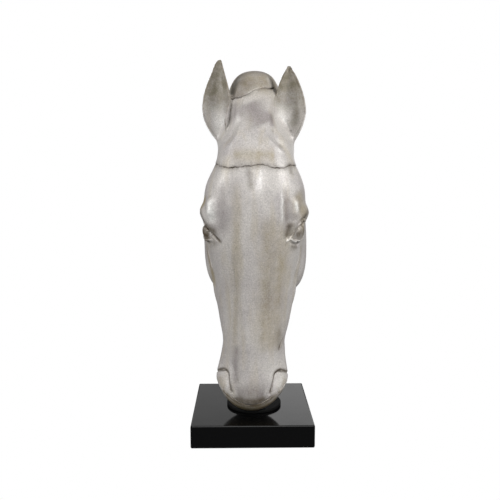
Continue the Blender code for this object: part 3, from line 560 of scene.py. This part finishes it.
def setPoints(mesh, points):
    mesh.vertices.foreach_set("co", points.astype(np.float32).ravel())
    mesh.update()


def spreadOut(mesh, values, rounds, weights=np.ones(1)):
    # each point's values drift towards its neighbours' mean, by its own weight
    a, b = columnsOf(mesh.edges, "vertices", 2, np.int32).T
    values = np.array(values, float)
    flat = values.reshape(len(values), -1)
    count = np.bincount(a, minlength=len(flat)) + np.bincount(b, minlength=len(flat))
    for _ in range(rounds):
        total = np.zeros_like(flat)
        for axis in range(flat.shape[1]):
            total[:, axis] += np.bincount(a, flat[b, axis], len(flat))
            total[:, axis] += np.bincount(b, flat[a, axis], len(flat))
        flat += 0.5 * weights[:, None] * (total / count[:, None] - flat)
    return flat.reshape(values.shape)


def relax(mesh, weights, rounds):
    setPoints(mesh, spreadOut(mesh, pointsOf(mesh), rounds, weights))


def earHold(mesh, trees, body):
    # 1 on an ear that stands clear of the head, falling to 0 where it grows out of it
    hold = np.zeros(len(mesh.vertices))
    for v in mesh.vertices:
        if v.co.z > ears["settle"][0] and min(tree.find_nearest(v.co)[3] for tree in trees) < ears["near"]:
            clear = body.find_nearest(v.co)[3]
            hold[v.index] = ramp(clear, *ears["clear"]) * ramp(v.co.z, *ears["settle"])
    return hold


def ontoEars(mesh, trees, hold):
    # the remeshed ears settle back onto their own smooth forms
    for v in mesh.vertices:
        if hold[v.index] > 0:
            place = min((tree.find_nearest(v.co) for tree in trees), key=lambda found: found[3])
            v.co = v.co.lerp(place[0], float(hold[v.index]))
    mesh.update()


def folded(points):
    return np.column_stack([np.abs(points[:, 0]), points[:, 1:]])


def pathDistance(points, path, reach=40):
    # least distance to a line of points within reach, and the share along it where that is
    best, where = np.full(len(points), 1e9), np.zeros(len(points))
    near = np.all((points > path.min(0) - reach) & (points < path.max(0) + reach), axis=1)
    close, least, share = points[near], best[near], where[near]
    for k, (a, b) in enumerate(zip(path[:-1], path[1:])):
        along = b - a
        if along.any():
            s = np.clip((close - a) @ along / (along @ along), 0, 1)
            gap = np.linalg.norm(close - a - s[:, None] * along, axis=1)
            share = np.where(gap < least, (k + s) / (len(path) - 1), share)
            least = np.minimum(gap, least)
    best[near], where[near] = least, share
    return best, where


def treeOf(mesh):
    bm = bmeshOf(mesh)
    tree = BVHTree.FromBMesh(bm)
    bm.free()
    return tree


def skinOf(mesh):
    return pointsOf(mesh), treeOf(mesh)


def moveOut(mesh, amounts):
    setPoints(mesh, pointsOf(mesh) + amounts[:, None] * normalsOf(mesh))


def strokeDistance(skin, side, path):
    # least distance to a path drawn onto the skin of one side or of both, and the share along it
    points, tree = skin
    best, where = np.full(len(points), 1e9), np.zeros(len(points))
    for turned in (1, -1):
        if side != -turned:
            line = np.array([tree.find_nearest(Vector(p))[0] for p in smoothPath(path) * (turned, 1, 1)])
            distance, share = pathDistance(points, line)
            where = np.where(distance < best, share, where)
            best = np.minimum(best, distance)
    return best, where


def strokeShare(skin, side, half, fade, path):
    distance, share = strokeDistance(skin, side, path)
    ends = ramp(share, 1, -fade)
    if side or abs(path[0][0]) >= 1:  # any other crosses the middle without a gap
        ends = ends * ramp(share, 0, fade)
    return ends * bell(distance, half)


def strokeHeights(skin, rows):
    return sum(row[2] * strokeShare(skin, row[0], row[1], *row[3:]) for row in rows.values())


def mouthHeights(skin):
    # the slit between the lips, from the front up to its corner; the lower lip is set back
    distance, share = strokeDistance(skin, 0, mouth["path"])
    front, span = mouth["front"]
    fade = ramp(share, 1, -mouth["fade"]) * (front + (1 - front) * ramp(share, 0, span))
    half = folded(skin[0])
    path = np.array(mouth["path"], float)[: mouth["frontCount"]]
    below = np.interp(half[:, 0], path[:, 0], path[:, 2]) - half[:, 2]
    lower = ramp(below, *mouth["lowerDown"]) * ramp(half[:, 1], *mouth["lowerFront"])
    return -mouth["depth"] * fade * bell(distance, mouth["halfWidth"]) - mouth["setBack"] * lower


def nostrilHeights(skin):
    # a scoop, deepest under its inner and top edges, that runs out level at the side
    half = folded(skin[0])
    line = np.array(nostril["line"], float)
    top, inner = line[: nostril["topCount"]][::-1], line[nostril["topCount"] - 1 :][::-1]
    out = half[:, 0] - np.interp(half[:, 2], inner[:, 2], inner[:, 0])
    under = np.interp(half[:, 0], top[:, 0], top[:, 2]) - half[:, 2]
    start, reach, lip = nostril["sideStart"], nostril["reach"], nostril["lip"]
    girth = out + np.maximum(0, half[:, 1] - start) * nostril["sideWeight"]
    depth = smoothStep(out / lip) * smoothStep(under / lip) * ramp(half[:, 2], inner[0, 2], nostril["foot"])
    depth *= ramp(girth, reach, -reach) * (half[:, 1] < start + reach)
    groove = strokeShare(skin, 0, *nostril["groove"], nostril["line"])
    return -nostril["depth"] * depth - nostril["grooveDepth"] * groove, groove


def carveEye(mesh):
    # inside the lids' edges the skin is the ball, outside them a lid that fades into the face
    points = pointsOf(mesh)
    out = np.array(eye["out"]) / np.linalg.norm(eye["out"])
    along = np.array(eye["along"]) - np.dot(eye["along"], out) * out
    along /= np.linalg.norm(along)
    local = folded(points) - eye["middle"]
    a, b, n = local @ along, local @ np.cross(out, along), local @ out
    places = np.linspace(eye["lids"][0][0], eye["lids"][-1][0], eye["lidStations"])
    lids = np.array([curveAt(eye["lids"], place) for place in places])
    upper = np.interp(a, places, lids[:, 0])
    lower = np.interp(a, places, lids[:, 1])
    pastEnd = np.maximum(0, np.maximum(places[0] - a, a - places[-1]))
    beyond = np.maximum(np.maximum(b - upper, lower - b), 0) + pastEnd
    spread = a**2 + b**2
    radius, thick = eye["radius"], eye["lidThickness"]
    ball = np.where(spread < radius**2, np.sqrt(np.maximum(radius**2 - spread, 0)), n - thick)
    lid = np.maximum(np.sqrt(np.maximum((radius + thick) ** 2 - spread, 0)), n)
    blend = smoothStep(1 - beyond / eye["lidReach"]) * smoothStep(eye["lidEnd"] - np.sqrt(spread) / radius)
    opened = smoothStep(np.minimum(upper - b, b - lower) / eye["lidRim"])
    target = np.where(beyond > 0, n + (lid - n) * blend, lid + (ball - lid) * opened)
    move = np.where((n > 0) & (spread < (eye["reach"] * radius) ** 2), target - n, 0)
    sides = np.column_stack([np.sign(points[:, 0]), np.ones((len(points), 2))])
    setPoints(mesh, points + move[:, None] * out * sides)


def cutFlat(bm, point, facing):
    whole = [*bm.verts, *bm.edges, *bm.faces]
    cut = bmesh.ops.bisect_plane(bm, geom=whole, dist=0.0, plane_co=point, plane_no=facing, clear_outer=True)
    rim = [g for g in cut["geom_cut"] if isinstance(g, bmesh.types.BMEdge)]
    bmesh.ops.triangle_fill(bm, use_beauty=True, use_dissolve=False, edges=rim, normal=Vector(facing))


def refine(mesh, wanted):
    # one more level of faces where wanted
    bm = bmeshOf(mesh)
    bm.verts.ensure_lookup_table()
    edges = [e for e in bm.edges if wanted[e.verts[0].index] and wanted[e.verts[1].index]]
    bmesh.ops.subdivide_edges(bm, edges=edges, cuts=1, use_grid_fill=True, smooth=0.0)
    bmesh.ops.triangulate(bm, faces=[f for f in bm.faces if len(f.verts) > 4])
    bm.to_mesh(mesh)
    bm.free()


def overCrack(crack, points):
    # how far above a crack's ragged line each point lies
    sideways = points[:, 0]
    line = np.array(crack["line"], float)
    height = np.interp(sideways, line[:, 0], line[:, 1])
    for k, (length, share) in enumerate(crackEdge["waves"]):
        height += crack["waver"] * share * np.sin(sideways * 2 * np.pi / length + crackEdge["shift"] * k)
    return points[:, 2] - height


def nearCracks(points, reach):
    return np.any([np.abs(overCrack(crack, points)) < reach for crack in cracks.values()], axis=0)


def nearZones(mesh, trees):
    points = pointsOf(mesh)
    wanted = np.zeros(len(points), bool)
    for v in mesh.vertices:
        if v.co.z > ears["root"] and v.co.y < fineSkin["earBack"]:
            wanted[v.index] = any(tree.find_nearest(v.co, head["skinStep"])[0] is not None for tree in trees)
    for middle, reach in fineSkin["zones"]:
        wanted |= np.linalg.norm(folded(points) - middle, axis=1) < reach
    return wanted | nearCracks(points, fineSkin["crackReach"])


def nearLines(mesh):
    skin = skinOf(mesh)
    lines = [(row[0], fineSkin["halves"] * row[1], row[-1]) for row in eyeCarving.values()]
    lines += [(0, fineSkin["nostrilReach"], nostril["line"])]
    lines += [(0, fineSkin["mouthReach"], mouth["path"][: mouth["frontCount"]])]
    wanted = nearCracks(skin[0], fineSkin["crackLine"])
    for side, reach, path in lines:
        wanted |= strokeDistance(skin, side, path)[0] < reach
    return wanted & (skin[0][:, 1] < fineSkin["lineBack"])


def carveCrack(mesh, crack, free):
    # a groove with a ragged edge; what lies above it stands a little proud or set back
    points = pointsOf(mesh)
    over = overCrack(crack, points)
    free = free * ramp(np.abs(normalsOf(mesh)[:, 2]), *crackEdge["flatTop"])  # none where the top lies flat
    half = crack["half"] * (1 + crack["wider"] * ramp(np.abs(points[:, 0]), *crackEdge["sides"]))
    step = crack["step"] * ramp(over, *crackEdge["rise"]) * (1 - smoothStep(over / crack["reach"]))
    moveOut(mesh, (step - crack["depth"] * bell(over, half)) * free)
    return bell(over, crackEdge["fill"] * half) * free


def reportMesh(stage, mesh):
    mesh.calc_loop_triangles()
    report(f"{stage}, {len(mesh.loop_triangles)} triangles")


def saveShare(mesh, name, values):
    attribute = mesh.attributes.new(name, "FLOAT", "POINT")
    attribute.data.foreach_set("value", np.clip(values, 0, 1).astype(np.float32))


def carveHead(mesh, onEar):
    # nostrils, mouth, fine strokes, eyes and cracks; the cracks' dark fill and the painted shade along the
    # nostrils' edges and in the eye creases are saved for the finish
    skin = skinOf(mesh)
    scooped, nostrilLine = nostrilHeights(skin)
    moveOut(mesh, scooped + mouthHeights(skin) + strokeHeights(skin, fineCarving))
    carveEye(mesh)
    skin = skinOf(mesh)
    moveOut(mesh, strokeHeights(skin, eyeCarving))
    relax(mesh, head["lastDrift"] * (1 - onEar), 1)
    free = spreadOut(mesh, np.where(onEar > 0.5, 0.0, 1.0), 3)
    # painted shade along the nostril's edge and in the eye creases, kept with the cracks' dark fill
    dark = nostril["edgeShade"] * nostrilLine
    for name, share in paintedCreaseShade.items():
        side, half, height, fade, path = eyeCarving[name]
        dark = np.maximum(dark, share * strokeShare(skin, side, half, fade, path))
    for crack in cracks.values():
        dark = np.maximum(dark, carveCrack(mesh, crack, free))
    saveShare(mesh, "crackFillAndPaintedShade", dark)
    return free


def markStainsAndPaintedLight(mesh, onEar, free):
    # each tone's stains, painted shade and painted light summed into one share, then the ears' painted shade
    # and light
    skin = skinOf(mesh)
    for tone, rows in stainsAndPaintedLight.items():
        clean = np.ones(len(free))
        for side, half, share, fade, path in rows.values():
            clean *= 1 - share * strokeShare(skin, side, half, fade, path)
        saveShare(mesh, tone + "Stain", (1 - clean) * free)
    points = skin[0]
    onEar = spreadOut(mesh, np.where(onEar > earTones["edge"], 1.0, 0.0), 2)
    # painted shade: the ears darker towards their tops and along one side of each cup; painted light: the cup
    # floors paler
    cupShade = earTones["cup"] * alongEars(points, "shadeAt", *earTones["shade"])
    shaded = np.maximum(ramp(points[:, 2], *earTones["topUp"]), cupShade)
    floorPaintedLight = alongEars(points, "paintedLightAt", *earTones["pale"]) * ramp(points[:, 2], *earTones["paintedLightUp"])
    rims = [alongEars(points, place, *earTones["rim"]) for place in (0.0, 0.5)]
    crest = overCrack(cracks["crest"], points)
    saveShare(mesh, "crestShade", ramp(crest, 0, crackEdge["shadeRise"]) * free)
    saveShare(mesh, "earShade", onEar * shaded)
    saveShare(mesh, "earPaintedLight", onEar * floorPaintedLight)
    saveShare(mesh, "earRim", np.maximum(*rims))
    saveShare(mesh, "earSkin", onEar)


def headMesh():
    forms = [bodyForm(), jowlForm(1), jowlForm(-1), earForm(ears["right"]), earForm(ears["left"])]
    trees = [treeOf(form.data) for form in forms[3:]]
    body = treeOf(forms[0].data)
    mesh = oneSkin(forms, head["skinStep"])
    hold = earHold(mesh, trees, body)
    relax(mesh, 1 - hold, head["relaxRounds"])
    ontoEars(mesh, trees, hold)
    refine(mesh, nearZones(mesh, trees))
    hold = earHold(mesh, trees, body)
    relax(mesh, 1 - head["earKeep"] * hold, 2)
    ontoEars(mesh, trees, hold)
    reportMesh("head skin", mesh)
    moveOut(mesh, strokeHeights(skinOf(mesh), broadCarving))
    refine(mesh, nearLines(mesh))
    onEar = earHold(mesh, trees, body)
    relax(mesh, head["carvedDrift"] * (1 - onEar), 2)
    markStainsAndPaintedLight(mesh, onEar, carveHead(mesh, onEar))
    points = pointsOf(mesh)
    points[:, 0] += [curveAt(head["middle"], z)[0] for z in np.clip(points[:, 2], 0, head["middle"][-1][0])]
    setPoints(mesh, points)
    reportMesh("carving", mesh)
    return mesh


def addRecess(mesh):
    # how far each point lies below its surroundings, fine and broad, for the brown left in the hollows
    points = pointsOf(mesh)
    normals = normalsOf(mesh)
    smooth = points
    for name, (rounds, size) in recess.items():
        smooth = spreadOut(mesh, smooth, rounds)
        saveShare(mesh, name, 0.5 + 0.5 * np.einsum("ij,ij->i", smooth - points, normals) / size)


def makeHead():
    bm = bmeshOf(headMesh())
    cutFlat(bm, (0, head["neckCut"], 0), (0, 1, 0))
    cutFlat(bm, (0, 0, head["seatFlat"]), (0, 0, -1))
    bmesh.ops.recalc_face_normals(bm, faces=bm.faces)
    bmesh.ops.translate(bm, verts=bm.verts, vec=(0, 0, -head["seatFlat"]))
    bmesh.ops.scale(bm, verts=bm.verts, vec=(0.001, 0.001, 0.001))
    bmesh.ops.rotate(bm, verts=bm.verts, matrix=Matrix.Rotation(np.radians(head["turn"]), 3, "Z"))
    bmesh.ops.translate(bm, verts=bm.verts, vec=(0, 0, seatBox[0].z))
    made = objectOf(bm, "castHead")
    mesh = made.data
    setPoints(mesh, np.clip(pointsOf(mesh), *np.array(seatBox)))
    mesh.shade_smooth()
    addRecess(mesh)
    reportMesh("head", mesh)
    return made


def setInputs(tree, node, inputs):
    for key, value in inputs.items():
        socket = node.inputs[key]
        if isinstance(value, bpy.types.NodeSocket):
            tree.links.new(value, socket)
        else:
            socket.default_value = (*value, 1) if socket.type == "RGBA" else value


def addNode(tree, kind, inputs, **settings):
    node = tree.nodes.new("ShaderNode" + kind)
    for key, value in settings.items():
        setattr(node, key, value)
    setInputs(tree, node, inputs)
    return node.outputs


def noise(tree, where, scale, detail, roughness=0.5):
    inputs = {"Vector": where, "Scale": scale, "Detail": detail, "Roughness": roughness}
    return addNode(tree, "TexNoise", inputs)["Fac"]


def sumOf(tree, first, second):
    return addNode(tree, "Math", {0: first, 1: second}, operation="ADD")[0]


def times(tree, first, second):
    return addNode(tree, "Math", {0: first, 1: second}, operation="MULTIPLY")[0]


def scaled(tree, colour, amount):
    return addNode(tree, "VectorMath", {0: colour, "Scale": amount}, operation="SCALE")[0]


def mixColour(tree, share, first, second):
    return addNode(tree, "Mix", {0: share, 6: first, 7: second}, data_type="RGBA")[2]


def rangeOf(tree, value, low, high, toLow=0.0, toHigh=1.0):
    inputs = {"Value": value, "From Min": low, "From Max": high, "To Min": toLow, "To Max": toHigh}
    return addNode(tree, "MapRange", inputs, clamp=True)["Result"]


def bumpOf(tree, height, strength, distance):
    return addNode(tree, "Bump", {"Height": height, "Strength": strength, "Distance": distance})[0]


def newMaterial(name):
    material = bpy.data.materials.new(name)
    material.use_nodes = True
    tree = material.node_tree
    return material, tree, addNode(tree, "TexCoord", {})["Object"]


leaf = {
    # the pale colour paints highlights; the lilac, the ears' tone and the dark one paint shade, the dark one
    # also fills the cracks
    "silver": (0.62, 0.59, 0.56), "grey": (0.5, 0.47, 0.46), "warm": (0.52, 0.465, 0.375),
    "pale": (0.8, 0.79, 0.76), "lilac": (0.235, 0.205, 0.2), "olive": (0.335, 0.275, 0.165),
    "earShadeTone": (0.205, 0.182, 0.13), "brown": (0.105, 0.08, 0.048), "dark": (0.035, 0.026, 0.017),
    "crackleSize": 0.003, "bend": 0.004, "roughness": (0.37, 0.5), "earRoughness": 0.25,
    "metallic": 0.1, "coat": (0.05, 0.4), "coatRoughness": 0.14,
    "layers": (  # share read from the skin, its low and high end, the most it covers, pattern and tone
        # the lilac, ears' shade and dark fill layers carry painted shade, the pale ones painted light, olive
        # and brown partly painted shade
        ("oliveStain", 0, 1, 1, "blotchy", "olive"),
        ("lilacStain", 0, 1, 1, "even", "lilac"),
        ("crestShade", 0, 1, 0.12, "blotchy", "brown"),
        ("paleStain", 0, 1, 1, "even", "pale"),
        ("earPaintedLight", 0, 1, 0.75, "even", "pale"),
        ("earShade", 0, 1, 0.85, "blotchy", "earShadeTone"),
        ("earRim", 0, 1, 0.7, "blotchy", "brown"),
        ("brownStain", 0, 1, 1, "blotchy", "brown"),
        ("broadRecess", 0.6, 1, 0.25, "even", "brown"),
        ("fineRecess", 0.62, 1, 0.7, "even", "brown"),
        ("crackFillAndPaintedShade", 0.2, 0.8, 0.85, "broken", "dark"),
    ),
}


def silverLeaf():
    material, tree, where = newMaterial("silverLeaf")

    def share(name, low=0.0, high=1.0, most=1.0):
        return rangeOf(tree, addNode(tree, "Attribute", {}, attribute_name=name)["Fac"], low, high, 0.0, most)

    patches = noise(tree, where, 14.0, 5.0, 0.62)
    blotches = noise(tree, where, 70.0, 4.0, 0.65)
    stretched = addNode(tree, "Mapping", {"Vector": where, "Scale": (60.0, 60.0, 9.0)})[0]
    streaks = noise(tree, stretched, 1.0, 4.0)
    grain = noise(tree, where, 420.0, 3.0, 0.7)
    bend = addNode(tree, "TexNoise", {"Vector": where, "Scale": 140.0, "Detail": 2.0})["Color"]
    moved = addNode(tree, "VectorMath", {0: where, 1: scaled(tree, bend, leaf["bend"])}, operation="ADD")[0]
    cells = {"Vector": moved, "Scale": 1 / leaf["crackleSize"]}
    crackle = addNode(tree, "TexVoronoi", cells, feature="DISTANCE_TO_EDGE")["Distance"]
    crackle = rangeOf(tree, crackle, 0.0, 0.10, 1.0, 0.0)
    parts = {
        "even": 1.0,
        "blotchy": rangeOf(tree, blotches, 0.3, 0.7, 0.6, 1.3),
        "broken": rangeOf(tree, blotches, 0.40, 0.60, 0.10, 1.15),
    }
    colour = mixColour(tree, rangeOf(tree, patches, 0.44, 0.62), leaf["silver"], leaf["grey"])
    colour = mixColour(tree, rangeOf(tree, streaks, 0.50, 0.74, 0.0, 0.7), colour, leaf["warm"])
    for name, low, high, most, part, tone in leaf["layers"]:
        colour = mixColour(tree, times(tree, share(name, low, high, most), parts[part]), colour, leaf[tone])
    colour = mixColour(tree, times(tree, crackle, 0.26), colour, leaf["brown"])
    relief = sumOf(tree, grain, times(tree, crackle, -0.6))
    rough = rangeOf(tree, patches, 0.35, 0.7, *leaf["roughness"])
    rough = sumOf(tree, rough, share("earSkin", most=leaf["earRoughness"]))
    setInputs(tree, tree.nodes["Principled BSDF"], {
        "Base Color": scaled(tree, colour, rangeOf(tree, grain, 0.3, 0.7, 0.80, 1.16)),
        "Roughness": rough,
        "Coat Weight": rangeOf(tree, share("glossStain"), 0.0, 1.0, *leaf["coat"]),
        "Normal": bumpOf(tree, relief, 0.3, 0.0004),
        "Metallic": leaf["metallic"],
        "Coat Roughness": leaf["coatRoughness"],
    })
    return material


stone = {
    "colour": (0.002, 0.002, 0.0022), "fleck": (0.007, 0.007, 0.0075), "roughness": (0.07, 0.13), "gloss": 0.32,
}


def blackStone():
    material, tree, where = newMaterial("blackStone")
    flecks = rangeOf(tree, noise(tree, where, 900.0, 3.0, 0.7), 0.55, 0.75)
    setInputs(tree, tree.nodes["Principled BSDF"], {
        "Base Color": mixColour(tree, flecks, stone["colour"], stone["fleck"]),
        "Roughness": rangeOf(tree, noise(tree, where, 30.0, 4.0), 0.3, 0.7, *stone["roughness"]),
        "Specular IOR Level": stone["gloss"],
    })
    return material


paint = {"colour": (0.002, 0.002, 0.002), "roughness": (0.52, 0.68), "gloss": 0.15}


def blackPaint():
    material, tree, where = newMaterial("blackPaint")
    grain = noise(tree, where, 1400.0, 2.0)
    setInputs(tree, tree.nodes["Principled BSDF"], {
        "Base Color": scaled(tree, paint["colour"], rangeOf(tree, grain, 0.3, 0.7, 0.8, 1.3)),
        "Roughness": rangeOf(tree, grain, 0.3, 0.7, *paint["roughness"]),
        "Normal": bumpOf(tree, grain, 0.15, 0.0002),
        "Specular IOR Level": paint["gloss"],
    })
    return material


castHead = makeHead()
castHead.data.materials.append(silverLeaf())
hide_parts("horse_head")
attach(castHead, "root")

for node, finish in (("plinth", blackStone()), ("mounting_disc", blackPaint())):
    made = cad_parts[node]
    for place in made.material_slots:
        place.material = finish
report("materials")

# Studio: a plain white sweep that only the camera sees, soft lamps, and cards that only the polish reflects.
studio = {
    "camera": (-0.0185, -0.9849, 0.4251), "yawAndPitch": (0.9, 6.41), "lens": 40.86, "sensor": 36.0,
    "ambient": 0.12, "radius": 6.0,
    "lamps": {  # place, the height each aims at, size and power
        "frontLamp": ((0, -1.55, 0.8), 0.38, (0.16, 0.6), 7),
        "leftLamp": ((-1.48, -0.55, 0.92), 0.38, (0.7, 1), 17),
        "rightLamp": ((1.32, -0.85, 0.98), 0.38, (0.7, 1), 22),
        "topLamp": ((0, -0.95, 1.6), 0.42, (0.9, 0.4), 2),
    },
    "cards": {  # middle, size, tilt and strength
        "leftCard": ((-0.375, 1.5, 0.63), (0.75, 0.34), 90, 0.64),
        "rightCard": ((0.475, 1.5, 0.63), (0.95, 0.34), 90, 1.2),
        "topCard": ((0, -0.62, 1.35), (1.2, 0.1), 25, 3.5),
    },
}


def glow(name, strength):
    material, tree, _ = newMaterial(name)
    tree.nodes.clear()
    light = addNode(tree, "Emission", {"Color": (1, 1, 1), "Strength": strength})[0]
    addNode(tree, "OutputMaterial", {"Surface": light})
    return material


def stagePiece(bm, name, material, seen):
    made = objectOf(bm, name)
    made.data.materials.append(material)
    for ray in ("camera", "diffuse", "glossy", "transmission", "shadow"):
        setattr(made, "visible_" + ray, ray in seen)


def aimed(name, data, place, ahead):
    made = bpy.data.objects.new(name, data)
    made.location = place
    made.rotation_euler = ahead.to_track_quat("-Z", "Y").to_euler()
    bpy.context.scene.collection.objects.link(made)
    return made


def makeStudio():
    bm = bmesh.new()
    bmesh.ops.create_circle(bm, cap_ends=True, segments=64, radius=studio["radius"])
    stagePiece(bm, "studioFloor", glow("paleFloor", 1.0), ("camera",))
    bm = bmesh.new()
    bmesh.ops.create_icosphere(bm, subdivisions=4, radius=studio["radius"])
    bmesh.ops.reverse_faces(bm, faces=bm.faces)
    stagePiece(bm, "studioSweep", glow("paleSweep", 1.0), ("camera",))
    for name, (middle, size, tilt, strength) in studio["cards"].items():
        bm = bmesh.new()
        bmesh.ops.create_grid(bm, x_segments=1, y_segments=1, size=0.5)
        bmesh.ops.scale(bm, verts=bm.verts, vec=(*size, 1))
        bmesh.ops.rotate(bm, verts=bm.verts, matrix=Matrix.Rotation(np.radians(tilt), 3, "X"))
        bmesh.ops.translate(bm, verts=bm.verts, vec=middle)
        stagePiece(bm, name, glow(name, strength), ("glossy",))
    for name, (place, aim, size, power) in studio["lamps"].items():
        light = bpy.data.lights.new(name, "AREA")
        light.shape = "RECTANGLE"
        light.size, light.size_y = size
        light.energy = power
        aimed(name, light, place, Vector((0, 0, aim)) - Vector(place))
    world = bpy.data.worlds.new("studioAir")
    world.use_nodes = True
    air = {"Color": (1, 1, 1), "Strength": studio["ambient"]}
    setInputs(world.node_tree, world.node_tree.nodes["Background"], air)
    bpy.context.scene.world = world
    bpy.context.scene.view_settings.view_transform = "Standard"


def makeCamera():
    lens = bpy.data.cameras.new("photoCamera")
    lens.lens = studio["lens"]
    lens.sensor_width = studio["sensor"]
    yaw, pitch = np.radians(studio["yawAndPitch"])
    ahead = Vector((np.sin(yaw) * np.cos(pitch), np.cos(yaw) * np.cos(pitch), -np.sin(pitch)))
    bpy.context.scene.camera = aimed("photoCamera", lens, studio["camera"], ahead)


makeStudio()
makeCamera()
report("studio")
